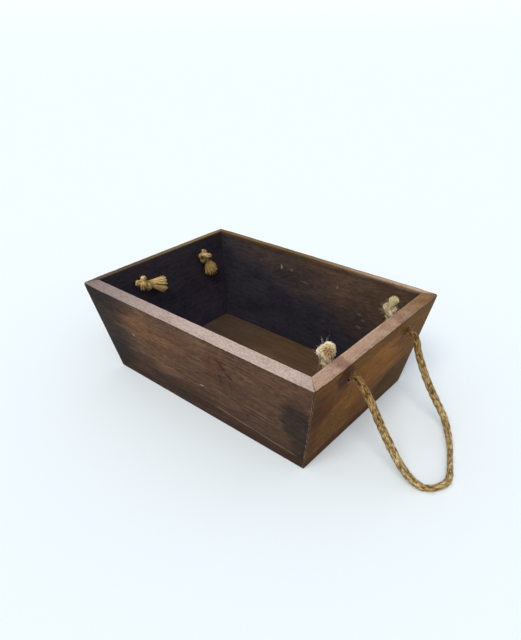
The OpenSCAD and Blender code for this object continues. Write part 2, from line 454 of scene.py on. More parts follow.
def board_mesh(name, side, sign, seed, chips):
    """A board with rounded, worn arrises and slightly uneven faces, mitred at both ends."""
    half_len, _, rim_out, lean, other_lean, level_t, end_level, panel = SIDES[side]
    slope, other = tan(lean), tan(other_lean)

    def outer(z):
        return rim_out - (HEIGHT - z) * slope

    def section(u_at):
        """Outline of the board at one station, with the arrises worn as they are there."""
        wear = 0.75 + 0.40 * rnd(u_at * 60, seed) + 0.35 * rnd(u_at * 220, seed + 5)
        for cu, depth, wide in chips:
            wear += depth * exp(-(((u_at - cu * MM) / (wide * MM)) ** 2))
        wear += 1.1 * exp(-(((half_len - abs(u_at)) / (6 * MM)) ** 2))
        r_out = min(2.4, max(0.35, wear)) * MM
        r_in = max(0.3, 0.75 + 0.35 * rnd(u_at * 90, seed + 9)) * MM
        a, b = (outer(0), 0.0), (outer(HEIGHT), HEIGHT)
        c, d = (outer(RIM_TOP) - level_t, RIM_TOP), (outer(PANEL_T) - level_t, PANEL_T)
        foot = arc((outer(0) - 6 * MM, 0), a, b, 0.8 * MM, 3)
        rim = arc(a, b, c, r_out, 5)
        inner = arc(b, c, d, r_in, 4)
        up_face = [i / 22 for i in range(1, 20)] + [(19 + 3 * k / 5) / 22 for k in (1, 2, 3, 4)]
        return (foot + [foot[-1].lerp(rim[0], f) for f in up_face]
                + rim + [rim[-1].lerp(inner[0], i / 6) for i in range(1, 6)]
                + inner + [inner[-1].lerp(Vector(d), i / 18) for i in range(1, 19)]
                + [Vector((panel, PANEL_T)), Vector((panel, 0.0))])

    near = [("bend", b) for b in BENDS] + [("on", d) for d in BEYOND]
    stations = [(0.0, how, -1) for how in near] + [(i / STATIONS, None, 0) for i in range(1, STATIONS)]
    stations += [(1.0, ("on", d), 1) for d in BEYOND[::-1]] + [(1.0, ("bend", b), 1) for b in BENDS[::-1]]
    bm = bmesh.new()
    rings = []
    for t, how, which in stations:
        ring = []
        for o, z in section((2 * t - 1) * half_len):
            inset = (outer(z) - o) / level_t
            reach = half_len - (HEIGHT - z) * other - inset * end_level - 0.07 * MM
            share = max(0.0, 1 - inset * 1.6)
            if how:
                back, shift = setback(*how, z)
                o -= shift * share
                u = which * (reach - (back * share + (1 - share) * how_flat(*how)))
            else:
                u = (2 * t - 1) * (reach - MARGIN)
            # slightly uneven faces, except where they meet the panel
            if z > 4 * MM:
                ease = min(1.0, (z - 4 * MM) / (6 * MM))
                facing = 1 if outer(z) - o < level_t / 2 else -1
                sway = 0.12 * rnd(u * 22, z * 40, seed) + 0.06 * rnd(u * 70, z * 260, seed + 3)
                o += (sway * ease - 0.07) * MM * facing
            ring.append(bm.verts.new((u, sign * o, z) if side == "long" else (sign * o, u, z)))
        rings.append(ring)
    return skinned(name, bm, rings)


BORE_SIDES = 40
# distance out of the board's face and radius, in millimetres, from outside the lip into the hole
BORE_LIP = [(3.0, 6.4), (0.15, 5.75), (-0.25, 5.15), (-0.8, 4.72), (-1.5, 4.5)]


def drill(obj, sign):
    """Two rope holes with rubbed lips, cut square to an end board."""
    t = BOARD_T / MM
    profile = BORE_LIP + [(-t - s, r) for s, r in reversed(BORE_LIP)]
    axis, e1 = Vector((sign * HOLE_DIR.x, 0, HOLE_DIR.z)), Vector((0, 1, 0))
    e2 = axis.cross(e1)
    cutters = []
    for y in HOLE_YS:
        bm = bmesh.new()
        at = Vector((sign * HOLE_X, y, HOLE_Z))
        rings = []
        for s, r in profile:
            ring = []
            for k in range(BORE_SIDES):
                turn = 2 * pi * k / BORE_SIDES
                out = (e1 * cos(turn) + e2 * sin(turn)) * (r + 0.12 * rnd(k * 0.3, s, y * 100))
                ring.append(bm.verts.new(at + axis * s * MM + out * MM))
            rings.append(ring)
        cutters.append(skinned("cutter", bm, rings))
        mod = obj.modifiers.new("hole", "BOOLEAN")
        mod.operation, mod.solver, mod.object = "DIFFERENCE", "EXACT", cutters[-1]
    bpy.context.view_layer.update()
    done = bpy.data.meshes.new_from_object(obj.evaluated_get(bpy.context.evaluated_depsgraph_get()))
    obj.modifiers.clear()
    obj.data = done
    for cutter in cutters:
        bpy.data.objects.remove(cutter)


def shade(obj, angle=32):
    """Smooth faces with sharp edges where the surface really turns."""
    bm = bmesh.new()
    bm.from_mesh(obj.data)
    for f in bm.faces:
        f.smooth = True
    for e in bm.edges:
        e.smooth = len(e.link_faces) != 2 or e.calc_face_angle(0.0) < radians(angle)
    bm.to_mesh(obj.data)
    bm.free()


def near(distance, width):
    """1 at no distance, falling to 0 at the width, which is in millimetres."""
    return np.clip(1 - distance / (width * MM), 0, 1)


def wear_attributes(obj, side, sign):
    """rim is 1 on the sanded rim; edge rises at the arrises that are rubbed; seam at the mitres."""
    co = coordinates(obj.data)
    along, up, inward, foot = (np.array(v) for v in board_axes(side, sign))
    rel = co - foot
    u, v, w = rel @ along, rel @ up, rel @ inward
    rim_half, _, _, lean, other, *_ = SIDES[side]
    below_rim = HEIGHT / cos(lean) - v
    half = rim_half - (HEIGHT - co[:, 2]) * tan(other)
    outside = w < 3 * MM
    corner = near(np.abs(half - np.abs(u) - NEAR_MITRE), 1.5) * outside
    set_attribute(obj.data, "rim", near(below_rim, 1.3))
    edges = [corner * 0.85, near(v, 1.6) * outside * 0.7, near(below_rim, 1.6) * 0.6]
    set_attribute(obj.data, "edge", np.maximum.reduce(edges))
    set_attribute(obj.data, "seam", near(half - np.maximum(w, 0) / cos(lean) - np.abs(u), 0.62))


def dress(obj, material):
    obj.data.materials.clear()
    obj.data.materials.append(material)


USUAL_LOOK = dict(knots=(), strokes=(), nicks=(), scuffs=(), rim_marks=(), rim_inner=0.0,
                  inside_along=(0.0, 0.0), ring=0.0046, rough=0.58)


def make_board(name, side, sign, seed, chips, **look):
    """A worn board in place of the CAD one, with its holes if it's an end board."""
    obj = board_mesh(name + "_worn", side, sign, seed, chips)
    if side == "end":
        drill(obj, sign)
    shade(obj)
    wear_attributes(obj, side, sign)
    dress(obj, wood(name, side, sign, seed, SimpleNamespace(**{**USUAL_LOOK, **look})))
    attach(obj, "crate")
    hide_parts(name)


# The rim's colours at a board's two ends are the sanded wood with painted light.
# Places and sizes on a board are millimetres: along it from its middle, then up from its foot.
# chips: place, depth, width; knots: place, radius, stretch; strokes: two ends, width, colour, amount;
# nicks, scuffs and patches: place, two radii, amount, colour; rim_marks: place, radius, amount, colour
# The inside colours are painted shade on the inner faces: a tint near the rim, a deeper one low down, and a
# shift along the board.
make_board(
    "front_board", side="long", sign=-1, seed=3.1, ripple=0.0022, gloss=0.08, rim_inner=0.35,
    dark=(0.029, 0.0145, 0.008), mid=(0.087, 0.043, 0.023), light=(0.16, 0.087, 0.047),
    cool=(0.74, 0.68, 0.72), thread=(0.189, 0.112, 0.069), threads_v=0.052, scar=(0.085, 0.04, 0.028),
    scar_dark=(0.022, 0.012, 0.01), worn=(0.25, 0.17, 0.12), inside=(0.42, 0.44, 0.5),
    inside_low=(0.22, 0.25, 0.32), rim_near=(0.286, 0.221, 0.201), rim_far=(0.522, 0.408, 0.353),
    rim_border=0.08, rim_fade=(-0.14, 0.03), rim_stain=(0.8, 0.74, 0.74), pith_v=0.035, pith_w=0.02,
    taper=0.06, rough=0.6,
    chips=[(-52, 0.5, 4), (38, 0.4, 3), (94, 0.5, 5), (132, 0.6, 4)],
    rim_marks=[(-146, 20, 0.7, (0.8, 0.8, 0.84)), (150, 30, 0.8, (0.82, 0.82, 0.84))],
    strokes=[
        ((24, 20.5), (128, 12.5), 1, (0.24, 0.16, 0.105), 0.6),
        ((-100, 30), (110, 24), 0.7, (0.035, 0.02, 0.015), 0.6),
        ((42.5, 90), (50, 78.5), 2.4, (0.024, 0.013, 0.01), 0.85),
        ((48, 80.5), (60.5, 68.5), 3.4, (0.024, 0.013, 0.01), 0.95),
        ((42.5, 70), (42.2, 59), 2.7, (0.022, 0.012, 0.009), 0.95),
        ((53.5, 67), (53.2, 57), 2.4, (0.022, 0.012, 0.009), 0.85),
        ((36, 93), (30, 74), 2.6, (0.045, 0.022, 0.017), 0.5),
        ((47, 74), (47.5, 60), 2.4, (0.06, 0.03, 0.023), 0.5),
        ((5, 40), (47, 45), 0.6, (0.24, 0.16, 0.1), 0.6),
        ((-20, 40), (30, 37), 0.5, (0.22, 0.145, 0.09), 0.5),
        ((-20, 46), (120, 38), 0.6, (0.2, 0.13, 0.09), 0.35)],
    nicks=[(-83, 63, 1.2, 2, 0.75, (0.3, 0.25, 0.19)), (12, 41, 2.8, 0.7, 0.85, (0.42, 0.3, 0.25))],
    patches=[
        (100, 30, 120, 75, 0.5, (0.68, 0.66, 0.7)), (-70, 72, 50, 20, 0.8, (1.3, 1.24, 1.02)),
        (-10, 56, 60, 22, 0.5, (1.25, 1.18, 1.1)), (-154, 60, 60, 90, 1.0, (0.3, 0.35, 0.41)),
        (10, 90, 120, 18, 0.7, (1.38, 1.34, 1.26)), (-112, 96, 40, 12, 0.9, (0.44, 0.42, 0.48)),
        (129, 48, 18, 34, 0.9, (0.34, 0.42, 0.5)), (36, 77, 14, 22, 0.6, (0.74, 0.56, 0.54)),
        (-20, 18, 50, 12, 0.8, (0.5, 0.52, 0.5)), (-105, 22, 60, 20, 0.85, (0.5, 0.44, 0.46)),
        (-30, 36, 36, 10, 0.6, (1.3, 1.22, 1.08)), (80, 20, 60, 16, 0.6, (0.84, 0.82, 0.82)),
        (20, 6, 160, 12, 0.6, (0.5, 0.42, 0.4))],
)
make_board(
    "back_board", side="long", sign=1, seed=11.7, ripple=0.0022, gloss=0.06, dark=(0.04, 0.024, 0.016),
    mid=(0.11, 0.066, 0.042), light=(0.2, 0.128, 0.082), cool=(0.72, 0.7, 0.76), thread=(0.24, 0.17, 0.12),
    threads_v=0.03, scar=(0.06, 0.034, 0.026), scar_dark=(0.022, 0.014, 0.012), worn=(0.2, 0.14, 0.085),
    inside=(0.74, 0.76, 0.8), inside_low=(0.235, 0.36, 0.77), inside_along=(-0.62, 0.26),
    rim_near=(0.21, 0.125, 0.046), rim_far=(0.54, 0.39, 0.27), rim_border=0.85, rim_fade=(-0.02, 0.14),
    rim_stain=(0.62, 0.55, 0.45), pith_v=0.062, pith_w=0.018, taper=-0.055,
    chips=[(-80, 0.5, 4), (60, 0.6, 5)],
    knots=[(-38, 83, 4.5, 1.8), (78, 55, 5, 1.3)],
    scuffs=[
        (-35.9, 86.5, 2, 3, 0.9, (0.24, 0.19, 0.16)), (-21.5, 86.5, 2.4, 2.2, 0.7, (0.18, 0.13, 0.11)),
        (-1, 77, 6, 1.2, 0.6, (0.16, 0.11, 0.09)), (43, 84, 1.2, 2.2, 0.7, (0.2, 0.16, 0.13)),
        (75, 62, 4, 1.6, 0.6, (0.16, 0.13, 0.12)), (80, 57, 2.2, 2, 0.5, (0.15, 0.12, 0.11)),
        (76, 48, 5, 1.8, 0.6, (0.16, 0.13, 0.12))],
    patches=[(-60, 18, 80, 22, 0.5, (0.45, 0.6, 0.5)), (90, 30, 50, 30, 0.5, (0.4, 0.46, 0.56))],
)
make_board(
    "right_end_board", side="end", sign=1, seed=23.4, ripple=0.0016, gloss=0.04, rim_inner=0.9,
    dark=(0.058, 0.022, 0.004), mid=(0.134, 0.056, 0.01), light=(0.2, 0.092, 0.018), cool=(0.7, 0.66, 0.7),
    thread=(0.258, 0.114, 0.027), threads_v=0.02, scar=(0.08, 0.034, 0.022), scar_dark=(0.02, 0.01, 0.008),
    worn=(0.3, 0.19, 0.125), inside=(0.34, 0.38, 0.46), inside_low=(0.2, 0.3, 0.8),
    rim_near=(0.446, 0.299, 0.216), rim_far=(0.247, 0.138, 0.064), rim_border=0.15, rim_fade=(0.0, 0.1),
    rim_stain=(0.66, 0.58, 0.52), pith_v=0.07, pith_w=0.024, taper=0.075, ring=0.0056,
    chips=[(-30, 0.5, 4), (70, 0.6, 4), (-95, 0.6, 3)],
    rim_marks=[(-60, 10, 0.75, (0.5, 0.38, 0.36)), (35, 12, 0.5, (0.6, 0.52, 0.52))],
    knots=[(-57, 95, 7, 1.3)],
    strokes=[
        ((-60, 104), (-50, 79), 2.4, (0.04, 0.017, 0.014), 0.85),
        ((-52, 88), (-68, 80), 1.6, (0.045, 0.02, 0.015), 0.7),
        ((49, 91), (39, 79), 2.2, (0.035, 0.015, 0.01), 1.0),
        ((43, 81), (33, 77), 1.6, (0.04, 0.017, 0.01), 0.9)],
    nicks=[
        (-51.5, 85, 1.3, 1.3, 1.0, (0.006, 0.004, 0.004)), (-60, 52, 1, 0.6, 0.8, (0.36, 0.24, 0.2)),
        (-43, 87, 2.4, 1.4, 0.7, (0.34, 0.19, 0.15))],
    patches=[
        (-58, 94, 9, 14, 0.8, (0.5, 0.34, 0.38)), (-85, 70, 20, 18, 0.7, (0.66, 0.48, 0.5)),
        (20, 88, 30, 8, 0.5, (1.25, 1.22, 1.1)), (55, 24, 40, 18, 0.8, (0.36, 0.42, 0.44)),
        (-50, 4, 80, 10, 0.6, (0.5, 0.38, 0.32)), (0, 45, 20, 8, 0.4, (0.55, 0.42, 0.4)),
        (-98, 45, 22, 60, 0.7, (0.62, 0.54, 0.55)), (8, 62, 60, 26, 0.85, (1.62, 1.46, 1.04))],
)
make_board(
    "left_end_board", side="end", sign=-1, seed=37.9, ripple=0.0016, gloss=0.05, rim_inner=0.3,
    dark=(0.04, 0.018, 0.009), mid=(0.112, 0.053, 0.022), light=(0.2, 0.102, 0.044),
    cool=(0.72, 0.68, 0.72), thread=(0.2, 0.116, 0.061), threads_v=0.03, scar=(0.06, 0.03, 0.02),
    scar_dark=(0.022, 0.012, 0.01), worn=(0.24, 0.16, 0.1), inside=(0.205, 0.365, 1.24),
    inside_low=(0.285, 0.48, 1.8), rim_near=(0.125, 0.08, 0.048), rim_far=(0.23, 0.15, 0.046),
    rim_border=0.9, rim_fade=(-0.06, 0.08), rim_stain=(0.66, 0.6, 0.55), pith_v=0.04, pith_w=0.022,
    taper=-0.07, ring=0.005,
    chips=[(30, 0.5, 4), (-70, 0.6, 4)],
    knots=[(12, 40, 5, 1.5)],
    patches=[(-70, 30, 40, 30, 0.5, (0.38, 0.44, 0.52)), (60, 60, 50, 20, 0.4, (0.55, 0.46, 0.42))],
)


# ---- bottom panel and brads
def panel_material():
    n = Net("stained_ply")
    pos = n.place()
    figure = n.math("FRACT", n.noise(pos, (9, 48, 9), 3, 0.5, 0.6) * 9.0)
    figure = n.ramp(figure, [(0, 0.3), (0.6, 0.55), (0.9, 0.9), (1, 0.3)])
    streak = n.noise(pos, (14, 520, 200), 4, 0.6)
    tone = figure * 0.22 + streak * 0.78
    colour = n.mix(n.span(tone, 0.25, 0.85), (0.066, 0.036, 0.017), (0.124, 0.073, 0.036))
    # painted shade over the left-hand part of the panel, darker and bluer there
    along = n.span(n.dot(pos, (1, 0, 0)), -0.11, 0.02)
    colour = n.tint(1, colour, n.mix(along, (0.72, 0.80, 1.02), (1.10, 1.04, 1.04)))
    cloud = n.noise(pos, (16, 22, 10), 3)
    colour = n.tint(n.span(cloud, 0.35, 0.7, 0, 0.6), colour, (0.72, 0.70, 0.62))
    speck = n.noise(pos, (260, 260, 100), 1)
    colour = n.mix(n.span(speck, 0.80, 0.84, 0, 0.6), colour, (0.42, 0.34, 0.25))
    return n.shader(colour=colour, rough=n.span(streak, 0.3, 0.7, 0.46, 0.60), specular=0.35,
                    normal=n.bump(streak, 0.2, 0.0003))


def brad_material():
    n = Net("dull_wire")
    rust = n.noise(n.place(), 900, 3, 0.6)
    colour = n.mix(n.span(rust, 0.35, 0.7), (0.05, 0.042, 0.036), (0.11, 0.075, 0.05))
    return n.shader(colour=colour, rough=n.span(rust, 0.3, 0.7, 0.45, 0.7), metallic=0.6)


dress(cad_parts["bottom_panel"], panel_material())
WIRE = brad_material()
for node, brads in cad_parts.items():
    if node.startswith("brads_"):
        dress(brads, WIRE)


# ---- rope
def unit(v):
    return v / np.linalg.norm(v)


def segments(path):
    """Length from each point of a path to the next."""
    return np.linalg.norm(np.diff(path, axis=0), axis=1)


def distances(path):
    """Distance along a path at each of its points."""
    return np.concatenate([[0], np.cumsum(segments(path))])


def around(angle, a, b):
    """Directions at angles in the plane of a and b, a row each."""
    return np.cos(angle)[:, None] * a + np.sin(angle)[:, None] * b


def evenly(q, step):
    """The path with its points a step apart."""
    s = distances(q)
    at = np.linspace(0, s[-1], max(2, int(round(s[-1] / step)) + 1))
    return np.stack([np.interp(at, s, q[:, k]) for k in range(3)], axis=1)


def smooth_path(points, step):
    """A curve through the points, with samples a step apart."""
    p = np.array(points, float)
    p = np.vstack([2 * p[0] - p[1], p, 2 * p[-1] - p[-2]])
    out = []

    def between(a, b, t_a, t_b, t):
        return (t_b - t) / (t_b - t_a) * a + (t - t_a) / (t_b - t_a) * b

    for i in range(1, len(p) - 2):
        d = [max(1e-9, np.linalg.norm(p[i + k] - p[i + k - 1])) ** 0.5 for k in (0, 1, 2)]
        t0, t1, t2, t3 = 0, d[0], d[0] + d[1], d[0] + d[1] + d[2]
        for t in np.linspace(t1, t2, 24, endpoint=False):
            a1, a2 = between(p[i - 1], p[i], t0, t1, t), between(p[i], p[i + 1], t1, t2, t)
            a3 = between(p[i + 1], p[i + 2], t2, t3, t)
            b1, b2 = between(a1, a2, t0, t2, t), between(a2, a3, t1, t3, t)
            out.append(between(b1, b2, t1, t2, t))
    out.append(p[-2])
    return evenly(np.array(out), step)


def frames(path):
    """Tangent and two side vectors that don't twist, at each point of a path."""
    t = np.gradient(path, axis=0)
    t /= np.linalg.norm(t, axis=1)[:, None]
    ref = np.array([0, 0, 1.0]) if abs(t[0, 2]) < 0.9 else np.array([1, 0, 0])
    sides = [unit(np.cross(ref, t[0]))]
    for tangent in t[1:]:
        sides.append(unit(sides[-1] - tangent * (sides[-1] @ tangent)))
    sides = np.array(sides)
    return t, sides, np.cross(t, sides)


def tube(base, rings, sides):
    """Faces between rings of points, numbered on from base."""
    return [(o + q, o + (q + 1) % sides, o + sides + (q + 1) % sides, o + sides + q)
            for o in range(base, base + (rings - 1) * sides, sides) for q in range(sides)]


LAY = 28 * MM
RING = 54
STRAND_AT, STRAND_R = 0.66, 0.34


def strand_radius(angle):
    """Outline of three soft strands laid together, as a share of the rope's radius."""
    d = (angle + pi / 3) % (pi * 2 / 3) - pi / 3
    return 0.45 + 0.55 * (STRAND_R * np.cos(d) + np.sqrt(STRAND_AT**2 - (STRAND_R * np.sin(d)) ** 2))


def rope_mesh(name, path, radius, seed, press=None):
    """Twisted strands along a path, with the frame and phase kept for the fibres."""
    _, a, b = frames(path)
    s = distances(path)
    n = len(path)
    k = np.arange(RING) * 2 * pi / RING
    share, low = strand_radius(k), strand_radius(pi / 3)
    verts, fibre, yarns = [], [], []
    for i, c in enumerate(path):
        ang = k + (2 * pi * s[i] / LAY + 0.5 * rnd(s[i] * 25, seed))
        # yarns lean back against the lay, so they run nearly along the rope
        yarn = np.cos(18 * ang + 10 * pi * s[i] / LAY + 1.2 * rnd(s[i] * 60, seed + 8))
        r = radius * share * (1 + 0.024 * yarn) * (1 + 0.04 * rnd(s[i] * 80, seed + 2))
        if press is not None:
            r = r * press[i]
        verts.append(c + np.outer(r * np.cos(ang), a[i]) + np.outer(r * np.sin(ang), b[i]))
        fibre.append(np.stack([np.cos(ang), np.sin(ang), np.full(RING, s[i])], axis=1))
        yarns.append(yarn)
    ends = [tuple(reversed(range(RING))), tuple(range((n - 1) * RING, n * RING))]
    return new_mesh(name, np.vstack(verts), tube(0, n, RING) + ends, fibre=np.vstack(fibre),
                    # how high each point stands on its strand, for painted shade in the grooves
                    groove=np.tile(np.clip((share - low) / (1 - low), 0, 1), n), yarn=np.concatenate(yarns),
                    # one side of the rope, all along it, for painted shade
                    strand=np.tile(0.5 + 0.5 * np.cos(k), n),
                    run=np.repeat(np.minimum(s, s[-1] - s) / s[-1], RING))


def hairs(name, roots, directions, lengths, width, rng, curl=0.5, parts=4, taper=0.75, sides=3, shade=0.5):
    """Loose fibres or yarns: thin tapering threads. shade is kept on each for its colour."""
    verts, faces = [], []
    for p, d, length in zip(roots, directions, lengths):
        d = unit(d)
        side = unit(np.cross(d, rng.normal(size=3)))
        faces += tube(len(verts), parts + 1, sides)
        for i in range(parts + 1):
            r = width * (1 - taper * (i / parts))
            e1 = unit(np.cross(d, side))
            e2 = np.cross(d, e1)
            for ang in (2 * pi * q / sides for q in range(sides)):
                verts.append(p + r * (cos(ang) * e1 + sin(ang) * e2))
            d = unit(d + rng.normal(size=3) * curl * 0.5 / parts + side * curl / parts)
            p = p + d * (length / parts)
        faces.append(tuple(range(len(verts) - sides, len(verts))))
    verts = np.array(verts)
    verts[:, 2] = np.maximum(verts[:, 2], 0.1 * MM)
    along = np.repeat(np.arange(parts + 1) / parts, sides)
    return new_mesh(name, verts, faces, along=np.tile(along, len(lengths)),
                    shade=np.repeat(np.broadcast_to(shade, len(lengths)), len(along)))


def rope_fuzz(name, path, radius, per_mm, seed):
    """Short loose fibres all over a rope."""
    rng = np.random.default_rng(seed)
    t, a, b = frames(path)
    count = int(segments(path).sum() / MM * per_mm)
    i = rng.integers(2, len(path) - 2, count)
    out = around(rng.uniform(0, 2 * pi, count), a[i], b[i])
    flow = np.where(rng.random(count) < 0.5, -1.0, 1)[:, None]
    d = out * rng.uniform(0.25, 0.9, count)[:, None] + flow * t[i] + rng.normal(size=(count, 3)) * 0.35
    return hairs(name, path[i] + out * radius * 0.86, d, rng.gamma(2.2, 1.4, count) * MM, 0.05 * MM, rng)


def jute(name, dark, mid, light, ends=None):
    n = Net(name)
    fibre, yarn = n.attr("fibre", "Vector"), n.attr("yarn")
    streak = n.noise(fibre, (5, 5, 380), 4, 0.7)
    strands = n.noise(fibre, (1.8, 1.8, 230), 3, 0.6)
    drift = n.noise(fibre, (0.7, 0.7, 40))
    tone = streak * 0.5 + strands * 0.5 + yarn * 0.035
    colour = n.mix(n.span(tone, 0.41, 0.51), dark, mid)
    colour = n.mix(n.span(tone, 0.50, 0.58), colour, light)
    colour = n.mix(n.span(drift, 0.46, 0.68, 0, 0.15), colour, light)
    # painted shade on one side of the rope, all along it
    colour = n.tint(n.fade(n.attr("strand"), 0.15, 0.85, 0.30), colour, (0.62, 0.56, 0.46))
    # painted shade in the grooves between the strands
    colour = n.tint(n.fade(n.attr("groove"), 0, 0.34, 0.62), colour, (0.30, 0.21, 0.11))
    # painted shade in the hollows between the yarns
    colour = n.tint(n.fade(yarn, -1.0, -0.35, 0.45), colour, (0.55, 0.45, 0.34))
    if ends:
        run = n.attr("run")
        # the rope darkens towards its ends: partly its own darker tone, partly painted shade under the
        # boards near the holes
        colour = n.tint(n.fade(run, 0, 0.36), colour, ends)
        # painted shade where the rope goes into the holes
        colour = n.tint(n.fade(run, 0.04, 0.085, 0.85), colour, (0.66, 0.52, 0.48))
    return n.shader(colour=colour, rough=0.9, specular=0.12, sheen=0.10, sheen_rough=0.5,
                    normal=n.bump(tone, 0.8, 0.0007))


def loose_fibre(name, root, core, tip):
    """Fibres that are warmest where they leave the rope, palest on the outside."""
    n = Net(name)
    tone = n.noise(n.place(), 600, 3, 0.6)
    colour = n.mix(n.span(n.attr("shade") + (tone - 0.5) * 1.2, 0.25, 0.85), core, tip)
    colour = n.mix(n.fade(n.attr("along"), 0, 0.45, 0.7), colour, root)
    return n.shader(colour=colour, rough=0.88, specular=0.15)


# the right-hand loop as part.scad has it: millimetres from the swing's axis, along Y, and up
AXIS_UP = 79
ROUTE = [
    (0, -46, 79), (10, -47, 66), (18.5, -47.5, 53), (26.5, -47, 39.5), (34.5, -46, 26),
    (42.5, -45, 14.5), (52, -43, 4), (63.5, -41.5, 0), (71.5, -34.5, 0), (76, -22.5, 0),
    (72.5, -9.5, 0), (66, 5, 0), (59.5, 19, 1), (51.5, 31, 4.5), (42, 39, 14),
    (32.5, 39, 27.5), (24, 37.5, 42.5), (16, 38, 56.5), (8, 42, 68), (0, 50, 79),
]


def loop_path(step):
    """Centreline of the right-hand loop, from inside one hole to inside the other."""
    rise = (AXIS_Z - ROPE_D / 2) / AXIS_UP
    pts = [Vector((AXIS_X + x * MM, y * MM, ROPE_D / 2 + z * rise)) for x, y, z in ROUTE]

    def in_hole(y, s):
        return Vector((HOLE_X, y, HOLE_Z)) + HOLE_DIR * s * MM

    front = [in_hole(HOLE_YS[0], s) for s in (-12.5, -6, 0)]
    back = [in_hole(HOLE_YS[1], s) for s in (0, -6, -12.5)]
    # the rope leaves its hole along the top of it and bends over
    front[2] += Vector((0, 0.3, 0.8)) * MM
    back[0] += Vector((0, 0, 0.3)) * MM
    pts[0] += Vector((-5.0, 0.3, 2.7)) * MM
    pts[1] += Vector((0, 0, 0.5)) * MM
    pts[-1] += Vector((-1.9, 0, 1.2)) * MM
    return smooth_path([tuple(p) for p in front + pts + back], step)


def other_end(path):
    """The same route laid at the left-hand end, the other way round."""
    q = path.copy()
    q[:, 0] *= -1
    q[:, 1] = (HOLE_YS[0] + HOLE_YS[1]) - q[:, 1]
    return q


# the last colour darkens the rope towards its ends, partly its own tone and partly painted shade near the
# holes
JUTE = jute("jute", (0.075, 0.038, 0.006), (0.325, 0.203, 0.055), (0.60, 0.480, 0.275), (0.64, 0.52, 0.36))
FUZZ = loose_fibre("jute_fuzz", (0.40, 0.28, 0.12), (0.45, 0.33, 0.16), (0.70, 0.57, 0.36))
# how much thicker or thinner the rope is, about a share of its length, and how far to each side
SWELLS = [(-0.31, 0.545, 0.075), (-0.17, 0.405, 0.038), (0.07, 0.24, 0.09), (0.05, 0.76, 0.06),
          (-0.16, 0.04, 0.03), (-0.16, 0.96, 0.03)]


def make_handle(side, path, seed, tied):
    t = np.linspace(0, 1, len(path))
    press = 1 + sum(more * np.exp(-(((t - at) / wide) ** 2)) for more, at, wide in SWELLS)
    rope = rope_mesh(side + "_rope", path, ROPE_D / 2, seed, press)
    fuzz = rope_fuzz(side + "_rope_fuzz", path, ROPE_D / 2, 3.0, seed)
    for obj, material in ((rope, JUTE), (fuzz, FUZZ)):
        dress(obj, material)
        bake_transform(obj)
    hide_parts(side + "_handle_rope")
    path[::4].tolist() + [path[-1].tolist()]
    [fuzz] + tied


# ---- knots and frayed ends
def overhand(thickness, count=84, rounds=700, length=34):
    """An overhand knot drawn up tight along +Z: a loose one, shortened against its own thickness."""
    t = np.linspace(-2.25, 2.25, count)
    p = np.stack([t**3 - 3 * t, t**4 - 4 * t**2, t**5 - 10 * t], axis=1)
    p[:, 1] += 2.0
    p *= np.array([4.2, 2.9, 1.05]) * MM
    p = evenly(p, segments(p).sum() / (count - 1))[:count]
    p -= p.mean(0)
    i = np.arange(count)
    for _ in range(rounds):
        seg = segments(p).mean()
        mid = (p[:-2] + p[2:]) / 2
        p[1:-1] += 0.5 * (mid - p[1:-1])
        d = p[:, None, :] - p[None, :, :]
        r = np.linalg.norm(d, axis=2) + 1e-12
        far = np.abs(i[:, None] - i[None, :]) >= max(3, int(1.5 * thickness / seg))
        push = np.where(far & (r < thickness), (thickness - r) * 0.24, 0.0)
        p += (d / r[:, :, None] * push[:, :, None]).sum(1)
        p[[0, -1], :2] *= 0.97
        span = p[-1, 2] - p[0, 2]
        grow = (length * MM - abs(span)) * 0.03 * np.sign(span)
        p[0, 2] -= grow / 2
        p[-1, 2] += grow / 2
        q = evenly(p, seg)
        old = np.linspace(0, 1, len(q))
        p = np.stack([np.interp(np.linspace(0, 1, count), old, q[:, k]) for k in range(3)], axis=1)
    if p[-1, 2] < p[0, 2]:
        p[:, [0, 2]] *= -1
    p[:, 2] -= (p[:, 2].max() + p[:, 2].min()) / 2
    return p


KNOT = overhand(5.3 * MM)


def turn_to(direction, roll):
    """Rotation that takes +Z to the direction, after a turn about +Z."""
    return direction.normalized().to_track_quat("Z", "Y").to_matrix() @ Matrix.Rotation(roll, 3, "Z")


def from_hole(side, y, v):
    """A point inside the crate, from the inner end of a rope hole: inwards, along Y, up."""
    p = Vector((HOLE_X, y, HOLE_Z)) - HOLE_DIR * BOARD_T
    return Vector((side * (p.x - v[0] * MM), p.y + v[1] * MM, p.z + v[2] * MM))


# at, tail and tip are from_hole's millimetres: the knot's middle, its way out, and the end of the fray
KNOTS = {
    "right_front": dict(
        side=1, y=HOLE_YS[0], at=(12.9, -1.8, 8.3), tail=(12.6, 0.4, 12.5), tip=(9.2, -3.0, 15.6),
        size=0.86, roll=0.6, spread=9, yarns=520, ball=6.4, seed=41, fibre="pale",
        lobe=((6.4, -4.6, -3.2), 4.4, 190), fuzz=22,
        strays=[((1, -3, 9), 11), ((2, -4, 6), 10), ((4, -5, -2), 9), ((4, -4, -5), 8)]),
    "right_back": dict(
        side=1, y=HOLE_YS[1], at=(9.9, 3.8, 10.7), tail=(9.8, 6.5, 15.2), tip=(8.6, 11.6, 23.6), size=0.86,
        roll=5.9, spread=4.6, yarns=150, dome=0.3, lean=0.2, neat=0.3, seed=42, fibre="straw", fuzz=26),
    "left_front": dict(
        side=-1, y=HOLE_YS[0], at=(10, 0.4, 3.2), tail=(10.5, 7.9, 1.0), tip=(12.5, 26.0, -6.6), size=1.02,
        roll=5.55, spread=8.4, yarns=190, tufts=2, neat=1.0, seed=43, fibre="gold", fuzz=1),
    "left_back": dict(
        side=-1, y=HOLE_YS[1], at=(10, -0.2, 2.2), tail=(11, 1.8, -6.3), tip=(14, 6.3, -21.5), size=0.95,
        roll=0.2, spread=9.6, yarns=200, dome=0.36, lean=0.3, neat=0.5, seed=44, fibre="rust", fuzz=3,
        strays=[((1, 7, -4), 7)]),
}
